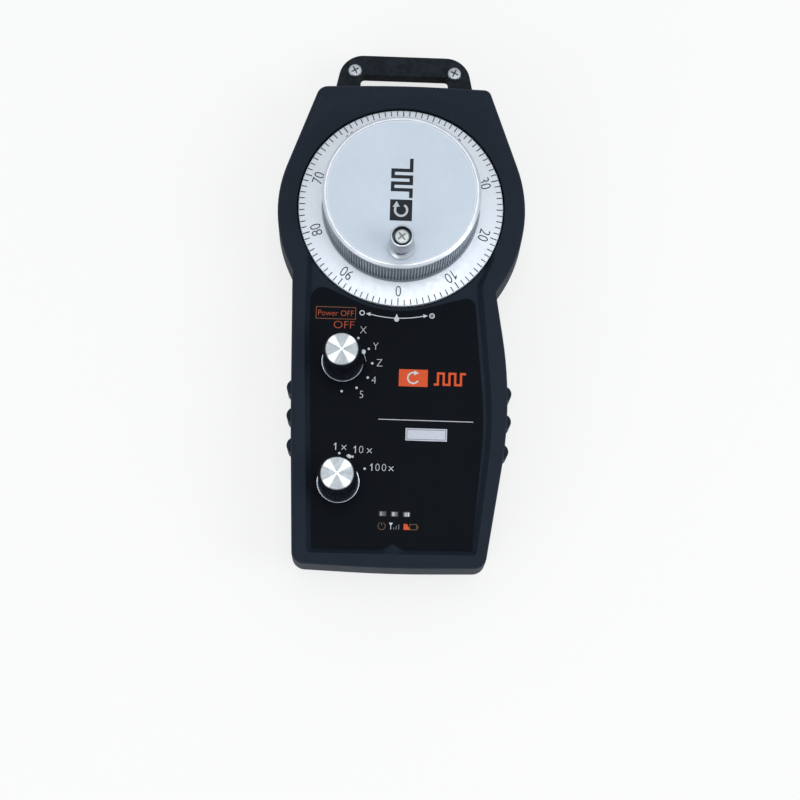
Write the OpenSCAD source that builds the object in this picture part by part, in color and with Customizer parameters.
// Handheld pulse generator: a battery powered machine pendant with a graduated handwheel.
// It lies on its flat back. X runs across, Y towards the hanger and Z out of the front.
// The origin is the point where the handwheel's axis meets the back.

/* [Body] */
// Thickness from the flat back to the rim
body_h = 32; // [30:1:40]
// Height of the joint between the two shells
parting_z = 14; // [13:0.5:18]
// Wall of the front shell
wall = 2.4; // [2:0.1:3.2]
// Width of the wall between the dial's well and the side of the head
head_wall = 8.25; // [6:0.05:12]
// Length from the handwheel's axis down to the tail
grip_len = 140.6; // [134:0.2:170]
// Length from the well's edge up to the top edge
top_wall = 10.55; // [8:0.05:16]
// Width of the top edge between its corners
top_w = 67.9; // [60:0.1:76]
// Width of the tail
tail_w = 72.9; // [66:0.1:76]
// Reach of the right side at the palm swell
swell_x = 45.4; // [42:0.2:50]
// Radius of the rounded rim
rim_r = 2; // [1:0.25:3]
// Half width of the right side at the waist
waist_x_right = 38.2; // [36:0.1:40]
// Half width of the left side at the waist
waist_x_left = 41.6; // [38:0.1:43]
// Protrusion of the grip ridges
ridge_h = 1.3; // [0.5:0.1:2]

/* [Panel] */
// Depth of the panel recess below the rim
recess_d = 2.4; // [1.5:0.1:3.5]
// Width of the recess's sloped wall
slope_w = 1.9; // [1:0.1:3]
// Thickness of the panel floor
floor_t = 2.2; // [1.6:0.1:3]
// Thickness of the membrane overlay
overlay_t = 0.4; // [0.2:0.1:0.8]
// Length of a light window
led_w = 2.8; // [2:0.1:4]
// Width of a light window
led_l = 1.9; // [1:0.1:3]
// Distance between light windows
led_pitch = 4.5; // [4.2:0.1:6]

/* [Handwheel] */
// Diameter of the graduated dial
dial_d = 80; // [72:1:96]
// Thickness of the dial at its edge
dial_t = 2.6; // [2:0.1:3.6]
// Rise of the dial's cone from its edge to the drum
dial_rise = 1; // [0:0.1:2]
// Depth of the dial's edge below the rim
dial_sink = 1; // [0.4:0.1:2]
// Diameter of the drum over its ribs
drum_d = 60; // [50:0.2:66]
// Height of the drum above the dial
drum_h = 17.4; // [14:0.2:24]
// Number of ribs around the drum
rib_count = 156; // [90:2:200]
// Depth of the grooves between ribs
rib_depth = 0.55; // [0.2:0.05:1]
// Height of the smooth lip above the ribs
lip_h = 1.7; // [1:0.1:3]
// Wall of the drum
drum_wall = 3; // [2:0.1:5]
// Diameter of the encoder's shaft
shaft_d = 8; // [6:0.5:12]

/* [Crank knob] */
// Distance of the crank knob's axis from the drum's edge
crank_edge = 8; // [7.5:0.1:12]
// Height of the crank knob above the wheel's face
crank_h = 13.6; // [8:0.2:24]
// Diameter of the crank knob's grip
crank_d = 8.8; // [8:0.1:12]
// Diameter of the crank knob's foot
crank_foot_d = 10.2; // [9:0.1:13]
// Diameter of the crank screw's head
crank_head_d = 6; // [5:0.1:6.4]
// Diameter of the crank screw
crank_screw_d = 4; // [3:0.5:4]

/* [Selector knobs] */
// Height of a selector knob above the panel
knob_h = 21.8; // [14:0.2:28]
// Diameter of a knob's body
knob_d = 14.4; // [14:0.1:17]
// Diameter of the bright ring at a knob's foot
ring_d = 16; // [15.6:0.1:20]
// Diameter of a knob's bright cap
cap_d = 12.3; // [10:0.1:13]
// Reach of a knob's pointer at its foot
pointer_reach = 9; // [8.4:0.1:11]
// Diameter of a switch's shaft
spindle_d = 6; // [4:0.1:6]
// Distance of both selectors to the left of the handwheel's axis
selector_x = 20.4; // [18:0.1:22]
// Distance of the axis selector below the handwheel's axis
axis_sel_y = 62.8; // [61:0.2:72]
// Distance of the step selector below the handwheel's axis
step_sel_y = 109.4; // [98:0.2:112]
// Angle of the axis selector's pointer, clockwise from straight up
axis_angle = 90; // [0:30:180]
// Angle of the step selector's pointer, clockwise from straight up
step_angle = 30; // [0:30:60]

/* [Hanger] */
// Width of the bail at its foot
bail_w = 56.8; // [50:0.2:64]
// Height of the bail above the body's top edge
bail_h = 17.4; // [16:0.2:26]
// Thickness of the bail
bail_t = 6; // [4:0.5:8]
// Width of the slot
slot_w = 35.6; // [28:0.2:36]
// Depth of the bar above the slot
bar_h = 8.3; // [6:0.1:10]
// Thickness of the ears behind the bail
ear_t = 4; // [3:0.5:5]

/* [Battery bay] */
// Diameter of a cell
cell_d = 14.2; // [13.5:0.1:14.5]
// Length of a cell
cell_len = 50.5; // [49:0.5:51]
// Width of the door
door_w = 40; // [36:0.5:44]
// Thickness of the door
door_t = 1.9; // [1.6:0.1:2.2]

/* [Circuit board] */
// Thickness of the boards
board_t = 1.6; // [1:0.1:2]
// Height of a switch's body
switch_h = 8; // [6:0.1:9]

/* [Fits] */
// Radial clearance of a shaft that turns in its bore
running = 0.05; // [0.03:0.01:0.1]
// Gap between moulded pieces that move past each other
gap = 0.3; // [0.2:0.05:0.5]
// Radial clearance of a piece that is only pushed into place
loose = 0.1; // [0.05:0.05:0.2]

/* [Hidden] */
$fn = 64;

// Heights of the front
floor_z = body_h - recess_d;
ceiling_z = floor_z - floor_t;
panel_z = floor_z + overlay_t;
dial_z = body_h - dial_sink;
dial_r = dial_d / 2;
well_r = dial_r + 0.5;
well_z = dial_z - dial_t - 0.4;
well_t = 2.4;
seat_z = dial_z + dial_rise;
face_z = seat_z + drum_h;

// Outline of the body as corners [x, y, radius], counter-clockwise from the tail
head_r = well_r + head_wall;
left_at = [3.2, -0.9];
left_r = head_r + 2.9;
right_at = [-5, -0.4];
right_r = head_r + 5.3;
top_y = well_r + top_wall;
top_x = 0.15;
top_arch = 0.95;
top_tilt = 0.3;
swell_y = -76.4;
tail_x = -0.65;
tail_bow = 1.1;
tail_left = tail_x - tail_w / 2;
tail_right = tail_x + tail_w / 2;
waist_right = [waist_x_right, below(right_at, right_r + 0.2, waist_x_right)];
waist_left = [-waist_x_left, below(left_at, left_r + 0.2, -waist_x_left)];
top_right = [top_x + top_w / 2, top_y - top_arch + top_tilt];
top_left = [top_x - top_w / 2, top_y - top_arch - top_tilt];
body_corners = [
    [tail_left, -grip_len, 5],
    [0, -grip_len - tail_bow, 500],
    [tail_right, -grip_len, 5],
    [swell_x, swell_y, 165],
    [waist_right.x, waist_right.y, 2.5],
    around(right_at, right_r, waist_right, top_right),
    [top_right.x, top_right.y, 3.6],
    [top_x, top_y + 0.1, 500],
    [top_left.x, top_left.y, 5],
    around(left_at, left_r, top_left, waist_left),
    [waist_left.x, waist_left.y, 1.5],
    [-39.8, -85, 500]
];

// The same for the rear shell, whose tail corners are rounder
rear_tail_r = 8;
rear_corners = [
    for (i = [0 : len(body_corners) - 1]) let(c = body_corners[i])
    [c.x, c.y, i == 0 || i == 2 ? rear_tail_r : c.z]
];
arc_tolerance = 0.02;
ridges_at = [-72.7, -83.6, -95.2];

// Profiles of the shells as levels [z, inset of the outline]
draft = 0.4;
back_r = 1.6;
back_inset = 2;
shell_step = 0.6;
front_levels = concat(
    [[parting_z, 0]],
    [for (a = [0 : 18 : 90]) [body_h - rim_r * (1 - sin(a)), draft + rim_r * (1 - cos(a))]]);
rear_levels = concat(
    [for (a = [90 : -22.5 : 0]) [back_r * (1 - sin(a)), back_inset + back_r * (1 - cos(a))]],
    [[parting_z, shell_step]]);

// Outline of the panel recess at the rim
recess_bottom = grip_len - 4.65;
recess_tilt = 0.35;
wedge_x = 0.8;
recess_left = waist_left.x + 6.1;
merge_y = waist_right.y + 13.3;
merge_x = sqrt(pow(well_r, 2) - pow(merge_y, 2)) + 1.7;
recess_corners = [
    [tail_left + 5.8, -recess_bottom - recess_tilt, 1.5],
    [tail_right - 3.7, -recess_bottom + recess_tilt, 1.5],
    [swell_x - 7.7, swell_y - 8.6, 140],
    [waist_right.x - 5.8, waist_right.y + 2, 3],
    [merge_x, merge_y, 8],
    [merge_x, -5, 1],
    [recess_left, -5, 1],
    [recess_left, -50, 150]
];

// Outline of the overlay, which keeps clear of the dial along an arc
overlay_r = well_r + 1.2;
overlay_inset = slope_w + loose;
overlay_base = inset(recess_corners, overlay_inset);
overlay_left = [overlay_base[7].x, waist_right.y + 2.5];
overlay_right = [waist_right.x - 8.6, waist_right.y - 1.7];
overlay_corners = [
    overlay_base[0],
    overlay_base[1],
    overlay_base[2] - [1.4, 0, 0],
    [overlay_right.x, overlay_right.y, 3.5],
    around([0, 0], overlay_r, overlay_left, overlay_right),
    [overlay_left.x, overlay_left.y, 4.5],
    overlay_base[7]
];

// Centres of the selectors and the light windows
axis_sel = [-selector_x, -axis_sel_y];
step_sel = [-selector_x, -step_sel_y];
led_y = -grip_len + 20;
led_x = 1.2;

// Screws that close the case
case_screws_at = [
    [-31, top_y - 15], [31, top_y - 15],
    [-30.5, -50], [30.5, -50],
    [-27, -grip_len + 10], [27, -grip_len + 10]
];
case_boss_r = 3.3;
case_pilot_r = 1.25;
case_head_r = 2.7;
case_head_z = 3.2;
case_grip = 8;

// Selector switch and knob
bushing_r = 3.5;
bushing_h = 5.4;
nut_af = 10;
nut_h = 2;
switch_r = 8;
knob_base = 0.5;
knob_bore_h = 14;
knob_r = knob_d / 2;
ring_z = 1.1;
ring_t = 1.1;
cap_t = 1;
pointer_w = 2;
pointer_top = 3;
flute_count = 40;
flute_depth = 0.3;
spindle_r = spindle_d / 2;

// Circuit board and what stands on it
board_top = ceiling_z - switch_h;
board_z = board_top - board_t;
board_edge = 6.2;
board_y = -axis_sel_y + switch_r;
board_tail = -grip_len + 14.3;
board_post_r = 2.4;
board_screws_at = [
    [-29, -85], [29, -62], [29, -104], [-22, board_tail + 4]
];

// Encoder
shaft_r = shaft_d / 2;
encoder_r = 27;
encoder_top = well_z - well_t;
encoder_z = 7;
encoder_wall = 2;
encoder_plate = 3;
bearing_r = shaft_r + 4;
bearing_t = 4;
nose_r = bearing_r + 1.5;
nose_h = well_t - 0.4;
hub_r = bearing_r + 2;
hub_z = encoder_top - 11.5;
disc_z = hub_z - 3;
disc_r = 20;
code_slots = 50;
encoder_screws_at = [for (a = [90, 210, 330]) 18 * [cos(a), sin(a)]];

// Handwheel
drum_r = drum_d / 2;
drum_top_t = 2.6;
drum_hub_r = shaft_r + 5.5;
cap_r = drum_r - 1.4;
face_t = 0.6;
crank_at = [0.5, crank_edge - drum_r];
crank_boss_r = crank_screw_d / 2 + 2.2;
crank_boss_h = 7;
crank_head_z = crank_h - 2.1;
grub_z = seat_z + 6;

// Hanger
bail_z = parting_z - 2;
bail_y = top_y - 0.15;
bail_top = top_y + bail_h;
slot_top = bail_top - bar_h;
bail_screw_y = bail_top - 7;
bail_screw_x = 20.1;
bail_corners = [
    [-bail_w / 2, bail_y - 0.5, 0.5],
    [bail_w / 2, bail_y, 0.5],
    [bail_w / 2 - 3.6, bail_top, 10],
    [-bail_w / 2 + 3.6, bail_top, 10]
];

// Battery bay
rear_floor = 2.4;
pad_h = 4;
bay_wall = 1.4;
bay_w = 2 * cell_d + 2.2;
spring_len = 3.2;
contact_t = 0.5;
bay_len = cell_len + spring_len + 2 * contact_t;
bay_y = -grip_len + 15.2;
bay_mid = bay_y + bay_len / 2;
cell_x = cell_d / 2 + 0.3;
door_z = 0.1;
cell_z = door_z + door_t + gap + cell_d / 2;
door_end = bay_y + bay_len + 5;
tongue = 1.2;
tongue_t = 0.8;
tongue_z = 0.7;

function xy(p) = [p.x, p.y];
function unit(v) = v / norm(v);
function left_of(v) = [-v.y, v.x];
function item(list, i) = list[(i + len(list)) % len(list)];
function edge_normal(corners, i) = left_of(unit(xy(item(corners, i + 1)) - xy(item(corners, i))));

// Direction from the centre of a circle to where the line from point p touches it
function touch(centre, r, p, side) =
    atan2(p.y - centre.y, p.x - centre.x) + side * acos(r / norm(p - centre));

// Height at which the lower half of a circle crosses x
function below(centre, r, x) = centre.y - sqrt(pow(r, 2) - pow(x - centre.x, 2));

// Corner that follows a circle, met by the tangents from p and q, p first counter-clockwise
function around(centre, r, p, q) = let(
    a = touch(centre, r, p, 1),
    b = touch(centre, r, q, -1),
    turn = (b - a + 720) % 360,
    tip = centre + r / cos(turn / 2) * [cos(a + turn / 2), sin(a + turn / 2)])
    [tip.x, tip.y, r];

// The same corners with every edge moved inwards by d, and the radii to suit
function inset(corners, d) = [
    for (i = [0 : len(corners) - 1]) let(
        m = edge_normal(corners, i - 1),
        n = edge_normal(corners, i),
        p = xy(corners[i]) + d * (m + n) / (1 + m * n),
        r = corners[i].z + (cross(m, n) > 0 ? -d : d))
    [p.x, p.y, max(r, 0.2)]
];

// Points of the outline, each corner drawn as an arc, in as many steps as the guide's arc needs
function rounded(corners, guide) = [
    for (i = [0 : len(corners) - 1]) let(
        m = edge_normal(corners, i - 1),
        n = edge_normal(corners, i),
        turn = atan2(cross(m, n), m * n),
        side = sign(turn),
        r = corners[i].z,
        centre = xy(corners[i]) + side * r * (m + n) / (1 + m * n),
        start = atan2(m.y, m.x),
        steps = ceil(abs(turn) / (2 * acos(1 - arc_tolerance / guide[i].z))))
    for (k = [0 : steps]) let(a = start + turn * k / steps)
    centre - side * r * [cos(a), sin(a)]
];

// Places where an outline crosses the height y, of which the largest or least is a side
function crossings(points, y) = [
    for (i = [0 : len(points) - 1]) let(p = points[i], q = item(points, i + 1))
    if ((p.y - y) * (q.y - y) < 0) p.x + (q.x - p.x) * (y - p.y) / (q.y - p.y)
];

// Skin through one outline at several levels [z, inset], lowest first
module skin(corners, levels) {
    rings = [for (l = levels) [for (p = rounded(inset(corners, l[1]), corners)) [p.x, p.y, l[0]]]];
    n = len(rings[0]);
    last = (len(rings) - 1) * n;
    polyhedron(
        points = [for (ring = rings) each ring],
        faces = concat(
            [[for (i = [0 : n - 1]) i]],
            [for (j = [0 : n : last - n], i = [0 : n - 1])
                [j + i, j + n + i, j + n + (i + 1) % n, j + (i + 1) % n]],
            [[for (i = [n - 1 : -1 : 0]) last + i]]));
}

// Straight-sided solid of an outline between two heights
module slab(corners, z0, z1) {
    translate([0, 0, z0])
        linear_extrude(z1 - z0)
            polygon(rounded(corners, corners));
}

// Solid through the levels, whose skin runs 1 mm past both ends and is then trimmed flat
module loft(corners, levels) {
    first = levels[0];
    last = levels[len(levels) - 1];
    intersection() {
        skin(corners, concat([first - [1, 0]], levels, [last + [1, 0]]));
        slab(inset(corners, -1), first[0], last[0]);
    }
}

// Cylinder between two heights
module post(at, r, z0, z1) {
    translate([at.x, at.y, z0])
        cylinder(r = r, h = z1 - z0);
}

// Tube between two heights
module sleeve(at, r, bore, z0, z1) {
    difference() {
        post(at, r, z0, z1);
        post(at, bore, z0 - 1, z1 + 1);
    }
}

// Box given by its middle in X, and by its ends in Y and Z
module bar(x, half, y0, y1, z0, z1) {
    translate([x - half, y0, z0])
        cube([2 * half, y1 - y0, z1 - z0]);
}

// Pan head screw standing head up, its seat at the height z
module pan_screw(at, head_r, shank_r, z, head, length) {
    translate([at.x, at.y, z])
        rotate_extrude()
            polygon(concat(
                [[0, -length], [shank_r - 0.3, -length], [shank_r, -length + 0.5], [shank_r, 0], [head_r, 0]],
                [for (a = [0 : 22.5 : 90])
                    [head_r * (0.72 + 0.28 * cos(a)), head * (0.3 + 0.6 * sin(a))]],
                [[0, head]]));
}

// Helical wire of round section, rising from z by height over the turns
module coil(at, r_bottom, r_top, height, turns, wire_r, per_turn = 12, sides = 6) {
    steps = turns * per_turn;
    rings = [for (k = [0 : steps]) let(
        a = 360 * k / per_turn,
        t = k / steps,
        r = r_bottom + (r_top - r_bottom) * t)
        [for (s = [0 : sides - 1]) let(b = 360 * s / sides)
            [(r + wire_r * cos(b)) * cos(a), (r + wire_r * cos(b)) * sin(a), height * t + wire_r * sin(b)]]];
    last = steps * sides;
    translate(at)
        polyhedron(
            points = [for (ring = rings) each ring],
            faces = concat(
                [[for (i = [0 : sides - 1]) i]],
                [for (j = [0 : sides : last - sides], i = [0 : sides - 1])
                    [j + (i + 1) % sides, j + sides + (i + 1) % sides, j + sides + i, j + i]],
                [[for (i = [sides - 1 : -1 : 0]) last + i]]));
}

// Upright ribs on both sides where the fingers close round the grip
module grip_ridges() {
    ridge_r = (pow(2.5, 2) + pow(ridge_h, 2)) / (2 * ridge_h);
    edge = rounded(body_corners, body_corners);
    for (y = ridges_at) {
        hits = crossings(edge, y);
        for (side = [[max(hits), 1], [min(hits), -1]])
            post([side[0] + side[1] * (ridge_h - ridge_r), y], ridge_r, parting_z + 1.5, body_h - rim_r - 2);
    }
}

// Wedge in the middle of the recess's lower wall, where a fingertip lifts the overlay
module lift_wedge(grow) {
    at = -recess_bottom;
    hull() {
        translate([wedge_x, at, floor_z - 0.5])
            linear_extrude(0.5)
                polygon([[-5 - grow, slope_w - 0.2], [5 + grow, slope_w - 0.2], [0, 4.6 + grow]]);
        translate([wedge_x, at, body_h - 0.4])
            linear_extrude(0.2)
                polygon([[-4 - grow, -0.6], [4 + grow, -0.6], [0, 0.4 + grow]]);
    }
}

module led_windows(clear, z0, z1) {
    for (i = [-1 : 1])
        bar(led_x + i * led_pitch, led_w / 2 + clear,
            led_y - led_l / 2 - clear, led_y + led_l / 2 + clear, z0, z1);
}

module front_shell() {
    color("#2b303c")
    difference() {
        union() {
            difference() {
                union() {
                    loft(body_corners, front_levels);
                    grip_ridges();
                }
                slab(inset(body_corners, wall), parting_z - 1, ceiling_z);
            }
            post([0, 0], well_r + 1.5, encoder_top, ceiling_z + 0.5);
            for (p = case_screws_at)
                post(p, case_boss_r, parting_z, ceiling_z + 0.5);
            for (p = board_screws_at)
                post(p, board_post_r, board_top, ceiling_z + 0.5);
        }
        post([0, 0], well_r, well_z, body_h + 1);
        difference() {
            loft(recess_corners, [[floor_z, slope_w], [body_h, 0], [body_h + 1, 0]]);
            lift_wedge(0);
        }
        post([0, 0], nose_r + loose, encoder_top - 1, well_z + 1);
        for (p = encoder_screws_at) {
            post(p, 1.7, encoder_top - 1, well_z + 1);
            post(p, 3, well_z - 1.2, well_z + 1);
        }
        for (p = [axis_sel, step_sel])
            post(p, bushing_r + loose, ceiling_z - 1, body_h);
        led_windows(loose, ceiling_z - 1, body_h);
        for (p = case_screws_at)
            post(p, case_pilot_r, parting_z - 1, parting_z + case_grip + 1);
        for (p = board_screws_at)
            post(p, 0.9, board_top - 1, board_top + 5);
    }
}

// Battery door's pocket and side grooves, open at the tail
module door_space(clear) {
    bar(0, door_w / 2 + clear, -grip_len - 1, door_end + clear, -1, door_z + door_t + clear);
    bar(0, door_w / 2 + tongue + clear, -grip_len - 1, door_end + clear,
        tongue_z - clear / 2, tongue_z + tongue_t + clear / 2);
}

module rear_shell() {
    color("#5d6163")
    difference() {
        union() {
            difference() {
                loft(rear_corners, rear_levels);
                slab(inset(rear_corners, 4.3), rear_floor, parting_z + 1);
            }
            intersection() {
                slab(inset(rear_corners, 3.8), rear_floor - 0.5, pad_h);
                bar(0, door_w / 2 + tongue + 2, -grip_len, door_end + 2.5, 0, pad_h);
            }
            bar(0, bay_w / 2 + bay_wall, bay_y - bay_wall, bay_y + bay_len + bay_wall, pad_h - 0.5, board_z - 0.6);
            for (p = case_screws_at)
                post(p, case_boss_r, rear_floor - 0.5, parting_z);
            hanger_ears();
        }
        bar(0, bay_w / 2, bay_y, bay_y + bay_len, -1, board_z);
        door_space(gap);
        for (p = case_screws_at) {
            post(p, case_pilot_r + 0.3, -1, parting_z + 1);
            post(p, case_head_r + 0.3, -1, case_head_z);
        }
        difference() {
            slab(inset(rear_corners, 1.9), parting_z - 1, parting_z + 1);
            slab(inset(rear_corners, 3.1), parting_z - 2, parting_z + 2);
        }
    }
}

// Ears behind the bail, part of the rear shell
module hanger_ears() {
    difference() {
        slab(inset(bail_corners, 0.8), bail_z - ear_t, bail_z);
        bar(0, slot_w / 2 + 0.4, 0, bail_top + 1, 0, body_h);
        for (side = [-1, 1])
            post([side * bail_screw_x, bail_screw_y], 1.4, 0, body_h);
    }
    for (side = [-1, 1])
        bar(side * (slot_w / 2 + 5), 4.2, bail_y - 4, bail_y + 2, bail_z - ear_t, bail_z);
}

module case_gasket() {
    color("#181818")
    difference() {
        slab(inset(rear_corners, 2), parting_z - 1, parting_z);
        slab(inset(rear_corners, 3), parting_z - 2, parting_z + 1);
    }
}

module case_screws() {
    color("silver")
    for (p = case_screws_at)
        translate([p.x, p.y, 0])
            mirror([0, 0, 1])
                pan_screw([0, 0], case_head_r, case_pilot_r - 0.05, -case_head_z, 2.2,
                    parting_z + case_grip - case_head_z);
}

module panel_overlay() {
    color("#14161a")
    difference() {
        slab(overlay_corners, floor_z, panel_z);
        lift_wedge(loose);
        for (p = [axis_sel, step_sel])
            post(p, bushing_r + loose, ceiling_z, body_h);
        led_windows(loose, ceiling_z, body_h);
    }
}

module hanger_bracket() {
    color("#232a2f")
    difference() {
        slab(bail_corners, bail_z, bail_z + bail_t);
        slab([
            [-slot_w / 2, bail_y - 4, 0.2], [slot_w / 2, bail_y - 4, 0.2],
            [slot_w / 2, slot_top, 1.5], [-slot_w / 2, slot_top, 1.5]
        ], bail_z - 1, bail_z + bail_t + 1);
        for (side = [-1, 1])
            post([side * bail_screw_x, bail_screw_y], 1.6, 0, body_h);
    }
}

module hanger_screws() {
    color("silver")
    for (side = [-1, 1])
        pan_screw([side * bail_screw_x, bail_screw_y], 2.8, 1.35, bail_z + bail_t, 1.8,
            bail_t + ear_t - 0.5);
}

module battery_door() {
    color("#55595b")
    difference() {
        intersection() {
            loft(rear_corners, rear_levels);
            union() {
                bar(0, door_w / 2, -grip_len, door_end, door_z, door_z + door_t);
                bar(0, door_w / 2 + tongue, -grip_len + 5, door_end, tongue_z, tongue_z + tongue_t);
            }
        }
        for (i = [0 : 5])
            bar(0, 9 - i, door_end - 10 - 2.2 * i, door_end - 9 - 2.2 * i, -1, door_z + 0.5);
    }
}

// Cell lying along Y, its raised end towards the side that is given
module cell(x, side) {
    translate([x, bay_mid + side * spring_len / 2, cell_z])
        rotate([-90 * side, 0, 0])
            translate([0, 0, -cell_len / 2])
                rotate_extrude()
                    polygon([
                        [0, 0], [cell_d / 2 - 0.6, 0], [cell_d / 2, 0.6], [cell_d / 2, cell_len - 1.8],
                        [cell_d / 2 - 0.8, cell_len - 1], [2.75, cell_len - 1], [2.75, cell_len], [0, cell_len]
                    ]);
}

module battery_1() {
    color("#c8b060")
    cell(-cell_x, -1);
}

module battery_2() {
    color("#c8b060")
    cell(cell_x, 1);
}

// A flat contact and a conical spring for each cell, at opposite ends
module battery_contacts() {
    color("#d0cfc4")
    for (side = [-1, 1]) {
        for (y = [bay_y, bay_y + bay_len - contact_t])
            bar(side * cell_x, 5, y, y + contact_t, cell_z - 5, cell_z + 5);
        translate([side * cell_x, bay_mid - side * (bay_len / 2 - contact_t), cell_z])
            rotate([-90 * side, 0, 0])
                coil([0, 0, 0.35], 4.6, 2.4, spring_len - 0.8, 3, 0.35);
    }
}

module main_board() {
    color("#1f5f38")
    difference() {
        intersection() {
            slab(inset(body_corners, board_edge), board_z, board_top);
            bar(0, 60, board_tail, board_y, 0, body_h);
        }
        for (p = board_screws_at)
            post(p, 1.1, 0, body_h);
    }
}

module board_screws() {
    color("silver")
    for (p = board_screws_at)
        mirror([0, 0, 1])
            pan_screw(p, 1.9, 0.85, -board_z, 0.9, board_t + 4);
}

// Shielded radio module on the board
module radio_module() {
    color("#b9bcc0")
    bar(14, 9, -92, -76, board_top, board_top + 2.6);
}

// Spring antenna that stands on the board beside the radio module
module antenna() {
    color("#c9a25a")
    translate([14, -70.5, board_top + 3])
        rotate([-90, 0, 0]) {
            translate([0, 0, -3.5])
                cylinder(r = 1.2, h = 3.5);
            translate([0, 3, -3.5])
                rotate([90, 0, 0])
                    cylinder(r = 0.8, h = 3);
            coil([0, 0, 0], 1, 2, 18, 9, 0.4);
        }
}

// Light pipe from the board up to the face of the overlay
module light_pipe(i) {
    x = led_x + i * led_pitch;
    color("#d9dde0") {
        bar(x, led_w / 2, led_y - led_l / 2, led_y + led_l / 2, board_top, panel_z + 0.1);
        bar(x, led_w / 2 + 0.6, led_y - led_l / 2 - 1, led_y + led_l / 2 + 1, board_top, ceiling_z - 2);
    }
}

module led_power() light_pipe(-1);
module led_signal() light_pipe(0);
module led_battery() light_pipe(1);

// Rotary switch: body on the board, threaded bushing through the panel
module rotary_switch(at) {
    color("#3c3f42")
    difference() {
        union() {
            post(at, switch_r, board_top, ceiling_z);
            post(at, bushing_r, ceiling_z - 1, panel_z + bushing_h);
        }
        post(at, spindle_r + running, board_top + 2, body_h + 5);
        post(at, switch_r - 2, board_top + 2, ceiling_z - 2);
    }
}

// Spindle with the wiper disc that it turns inside the switch
module spindle(at) {
    color("#a9adb0") {
        post(at, spindle_r, board_top + 2.2, panel_z + knob_base + knob_bore_h - 0.2);
        post(at, switch_r - 2.5, board_top + 3, board_top + 4.4);
    }
}

module switch_nut(at) {
    color("silver")
    difference() {
        union() {
            post(at, nut_af / 2 + 0.6, panel_z, panel_z + 0.5);
            translate([at.x, at.y, panel_z + 0.5])
                cylinder(d = nut_af / cos(30), h = nut_h, $fn = 6);
        }
        post(at, bushing_r + 0.02, floor_z, body_h + 5);
    }
}

// Outline of the fluted grip
function flutes(r) = [
    for (k = [0 : 4 * flute_count - 1])
    (r - (k % 4 < 2 ? 0 : flute_depth)) * [cos(90 * k / flute_count), sin(90 * k / flute_count)]
];

// Fluted grip with a pointer fin, drawn with its pointer straight up the panel
module knob_grip(at, angle) {
    base = panel_z + knob_base;
    top = panel_z + knob_h - cap_t;
    color("#1b1d20")
    translate([at.x, at.y, 0])
        rotate([0, 0, -angle])
            difference() {
                union() {
                    post([0, 0], knob_r + 0.2, base, panel_z + ring_z);
                    post([0, 0], knob_r - 0.6, base, top);
                    translate([0, 0, panel_z + ring_z + ring_t])
                        linear_extrude(top - 0.8 - panel_z - ring_z - ring_t)
                            polygon(flutes(knob_r));
                    translate([0, 0, top - 0.8])
                        cylinder(r1 = knob_r - flute_depth, r2 = knob_r - 0.9, h = 0.8);
                    pointer(top);
                }
                post([0, 0], spindle_r + loose / 2, 0, base + knob_bore_h);
                post([0, 0], nut_af / 2 + 1, 0, panel_z + bushing_h + 0.6);
            }
}

// Fin that stands out of the grip and slopes down to its foot
module pointer(top) {
    foot = panel_z + ring_z + ring_t;
    translate([-pointer_w / 2, 0, 0])
        rotate([90, 0, 90])
            linear_extrude(pointer_w)
                polygon([
                    [0, foot], [pointer_reach, foot], [pointer_reach - 1, top - pointer_top],
                    [pointer_reach - 1.8, top - pointer_top + 0.8], [0, top - pointer_top + 0.8]
                ]);
}

// Bright disc let into the top of the grip
module knob_cap(at) {
    base = panel_z + knob_h - cap_t;
    color("#d8dade")
    translate([at.x, at.y, base])
        rotate_extrude()
            polygon([[0, 0], [cap_d / 2, 0], [cap_d / 2, cap_t - 0.3], [cap_d / 2 - 0.3, cap_t], [0, cap_t]]);
}

module knob_ring(at) {
    color("#d8dade")
    sleeve(at, ring_d / 2, knob_r - 0.55, panel_z + ring_z, panel_z + ring_z + ring_t);
}

module axis_switch() rotary_switch(axis_sel);
module axis_switch_nut() switch_nut(axis_sel);
module axis_switch_spindle() spindle(axis_sel);
module axis_knob_body() knob_grip(axis_sel, axis_angle);
module axis_knob_cap() knob_cap(axis_sel);
module axis_knob_ring() knob_ring(axis_sel);

module step_switch() rotary_switch(step_sel);
module step_switch_nut() switch_nut(step_sel);
module step_switch_spindle() spindle(step_sel);
module step_knob_body() knob_grip(step_sel, step_angle);
module step_knob_cap() knob_cap(step_sel);
module step_knob_ring() knob_ring(step_sel);

// Cup that hangs under the well, with a hub for two bearings
module encoder_housing() {
    color("#8f9499")
    difference() {
        union() {
            sleeve([0, 0], encoder_r, encoder_r - encoder_wall, encoder_z + 2, encoder_top);
            post([0, 0], encoder_r, encoder_top - encoder_plate, encoder_top);
            post([0, 0], nose_r, encoder_top - 1, encoder_top + nose_h);
            post([0, 0], hub_r, hub_z, encoder_top);
        }
        post([0, 0], shaft_r + 0.6, hub_z - 1, body_h);
        post([0, 0], bearing_r, encoder_top + nose_h - bearing_t, body_h);
        post([0, 0], bearing_r, hub_z - 1, hub_z + bearing_t);
        for (p = encoder_screws_at)
            post(p, 1.5, encoder_top - encoder_plate - 1, body_h);
    }
}

module encoder_cover() {
    color("#7f8489")
    union() {
        post([0, 0], encoder_r, encoder_z, encoder_z + 2);
        sleeve([0, 0], encoder_r - encoder_wall - loose, encoder_r - encoder_wall - 1.5,
            encoder_z + 1.5, encoder_z + 3.5);
    }
}

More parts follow.
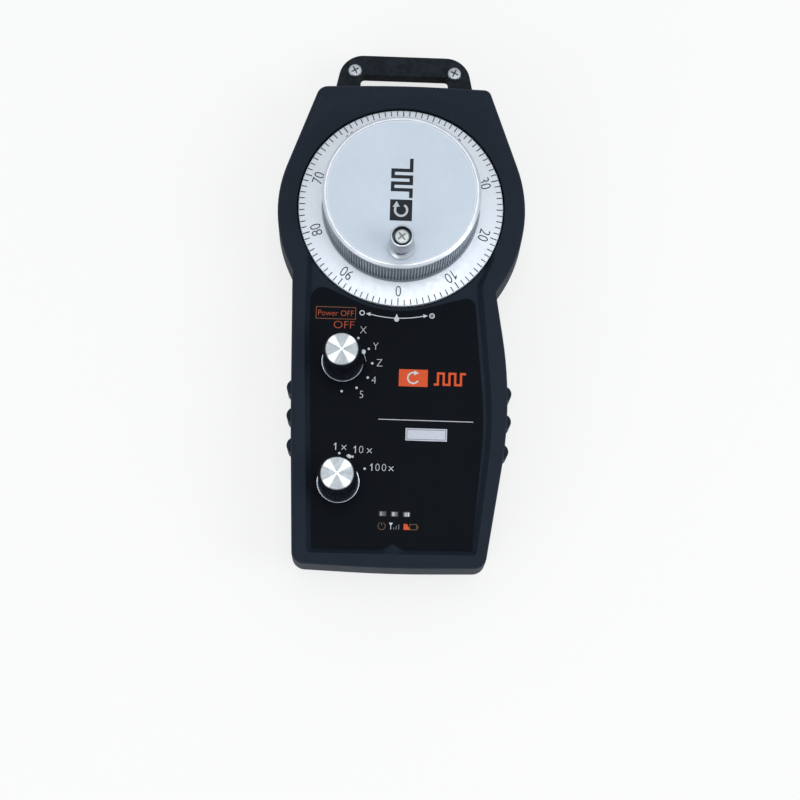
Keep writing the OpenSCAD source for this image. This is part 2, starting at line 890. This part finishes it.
module encoder_bearings() {
    color("#c9ccd0")
    for (z = [encoder_top + nose_h - bearing_t, hub_z])
        difference() {
            sleeve([0, 0], bearing_r - 0.02, shaft_r + running, z + 0.02, z + bearing_t);
            translate([0, 0, z + bearing_t])
                rotate_extrude()
                    translate([(bearing_r + shaft_r) / 2, 0])
                        square([1.6, 0.8], center = true);
        }
}

// Reading head and its board under the code disc
module encoder_board() {
    color("#1f5f38")
    difference() {
        union() {
            sleeve([0, 0], encoder_r - encoder_wall - 2, shaft_r + 2, encoder_z + 2, encoder_z + 2 + board_t);
            bar(0, 4, 13, 19.5, encoder_z + 2, disc_z - 0.5);
        }
    }
}

module encoder_screws() {
    color("silver")
    for (p = encoder_screws_at)
        pan_screw(p, 2.8, 1.45, well_z - 1.2, 1.1, well_t - 1.2 + encoder_plate - 0.2);
}

module encoder_shaft() {
    color("#b4b8bc")
    difference() {
        post([0, 0], shaft_r, disc_z - 1.5, face_z - drum_top_t - 0.5);
        for (side = [-1, 1])
            translate([side * (shaft_r + 0.4), 0, grub_z])
                cube([2, 5, 5], center = true);
    }
}

// Slotted disc on a collar
module encoder_disc() {
    color("#d8d8d0")
    difference() {
        union() {
            post([0, 0], disc_r, disc_z, disc_z + 0.6);
            post([0, 0], shaft_r + 2.5, disc_z, disc_z + 2);
        }
        post([0, 0], shaft_r + 0.02, 0, body_h);
        for (k = [0 : code_slots - 1])
            rotate([0, 0, 360 * k / code_slots])
                translate([disc_r - 3.5, -0.35, disc_z - 1])
                    cube([2.5, 0.7, 3]);
    }
}

// Graduated dial: a thin disc whose upper face rises in a shallow cone
module scale_dial() {
    color("#e3e6ea")
    rotate_extrude($fn = 128)
        polygon([
            [shaft_r + 0.05, well_z + 0.4 + 0.4], [drum_r - 2, well_z + 0.4 + 0.4],
            [drum_r - 1, well_z + 0.4], [dial_r - 0.3, well_z + 0.4], [dial_r, well_z + 0.7],
            [dial_r, dial_z - 0.2], [dial_r - 0.2, dial_z], [drum_r + 0.6, seat_z],
            [shaft_r + 0.05, seat_z]
        ]);
}

// Outline of the ribbed drum
function ribs(r, depth, n) = [
    for (k = [0 : 4 * n - 1])
    (r - (k % 4 < 2 ? 0 : depth)) * [cos(90 * k / n), sin(90 * k / n)]
];

// Hollow drum with a hub on the shaft and a boss for the crank screw
module handwheel_drum() {
    top = face_z - face_t;
    color("#cdd2d8")
    difference() {
        union() {
            translate([0, 0, seat_z])
                linear_extrude(face_z - lip_h - seat_z)
                    polygon(ribs(drum_r, rib_depth, rib_count));
            rotate_extrude($fn = 128)
                polygon([
                    [0, face_z - lip_h - 2], [drum_r - rib_depth, face_z - lip_h - 2],
                    [drum_r - rib_depth, face_z - lip_h], [drum_r + 0.3, face_z - lip_h],
                    [drum_r + 0.3, face_z - 0.5], [drum_r - 0.6, face_z], [0, face_z]
                ]);
        }
        post([0, 0], cap_r + 0.1, top, face_z + 1);
        difference() {
            post([0, 0], drum_r - drum_wall, seat_z - 1, top - drum_top_t);
            post([0, 0], drum_hub_r, seat_z - 1, top);
            post(crank_at, crank_boss_r, top - drum_top_t - crank_boss_h, top);
        }
        post([0, 0], shaft_r + 0.02, seat_z - 1, face_z - drum_top_t);
        post(crank_at, crank_screw_d / 2 - 0.15, top - crank_boss_h, face_z);
        rotate([0, 90, 0])
            translate([-grub_z, 0, -drum_hub_r - 1])
                cylinder(r = 2, h = 2 * drum_hub_r + 2);
    }
}

module handwheel_cap() {
    color("#c5ccd4")
    difference() {
        post([0, 0], cap_r, face_z - face_t, face_z - 0.1);
        post(crank_at, crank_screw_d / 2 + 0.3, 0, face_z + 1);
    }
}

module grub_screws() {
    color("#55585c")
    for (side = [-1, 1])
        translate([side * (shaft_r - 0.4), 0, grub_z])
            rotate([0, 90 * side, 0])
                cylinder(r = 1.95, h = 4);
}

// Shoulder screw that the crank knob turns on
module crank_screw() {
    color("#d5d8dc") {
        pan_screw(crank_at, crank_head_d / 2, crank_screw_d / 2, face_z + crank_head_z, 1.7, crank_head_z + face_t);
        post(crank_at, crank_screw_d / 2 - 0.2, face_z - crank_boss_h + 0.5, face_z);
    }
}

// Waisted grip with a flared foot and a pocket for the screw's head
module crank_knob() {
    foot = face_z + 0.2;
    grip_r = crank_d / 2;
    foot_r = crank_foot_d / 2;
    neck_r = grip_r - 0.9;
    neck_z = 3.2;
    bore_r = crank_screw_d / 2 + running;
    pocket_r = crank_head_d / 2 + 0.7;
    pocket_z = crank_head_z - 0.3;
    color("#d9dde1")
    translate([crank_at.x, crank_at.y, foot])
        rotate_extrude()
            polygon(concat(
                [[bore_r, 0], [foot_r, 0], [foot_r, 0.5]],
                [for (t = [0.1 : 0.15 : 1]) [neck_r + (foot_r - neck_r) * pow(1 - t, 2.2), 0.5 + (neck_z - 0.5) * t]],
                [for (t = [0.25 : 0.25 : 1]) [neck_r + (grip_r - neck_r) * sin(90 * t), neck_z + 2.4 * t]],
                [[grip_r, crank_h - 1]],
                [for (a = [22.5 : 22.5 : 90]) [grip_r - 0.6 * (1 - cos(a)), crank_h - 0.8 + 0.6 * sin(a)]],
                [[pocket_r, crank_h - 0.2], [pocket_r, pocket_z], [bore_r, pocket_z]]));
}

front_shell();
rear_shell();
case_gasket();
case_screws();
panel_overlay();
hanger_bracket();
hanger_screws();
battery_door();
battery_1();
battery_2();
battery_contacts();
main_board();
board_screws();
radio_module();
antenna();
led_power();
led_signal();
led_battery();
axis_switch();
axis_switch_nut();
axis_switch_spindle();
axis_knob_body();
axis_knob_cap();
axis_knob_ring();
step_switch();
step_switch_nut();
step_switch_spindle();
step_knob_body();
step_knob_cap();
step_knob_ring();
encoder_housing();
encoder_cover();
encoder_bearings();
encoder_board();
encoder_screws();
encoder_shaft();
encoder_disc();
scale_dial();
handwheel_drum();
handwheel_cap();
grub_screws();
crank_screw();
crank_knob();
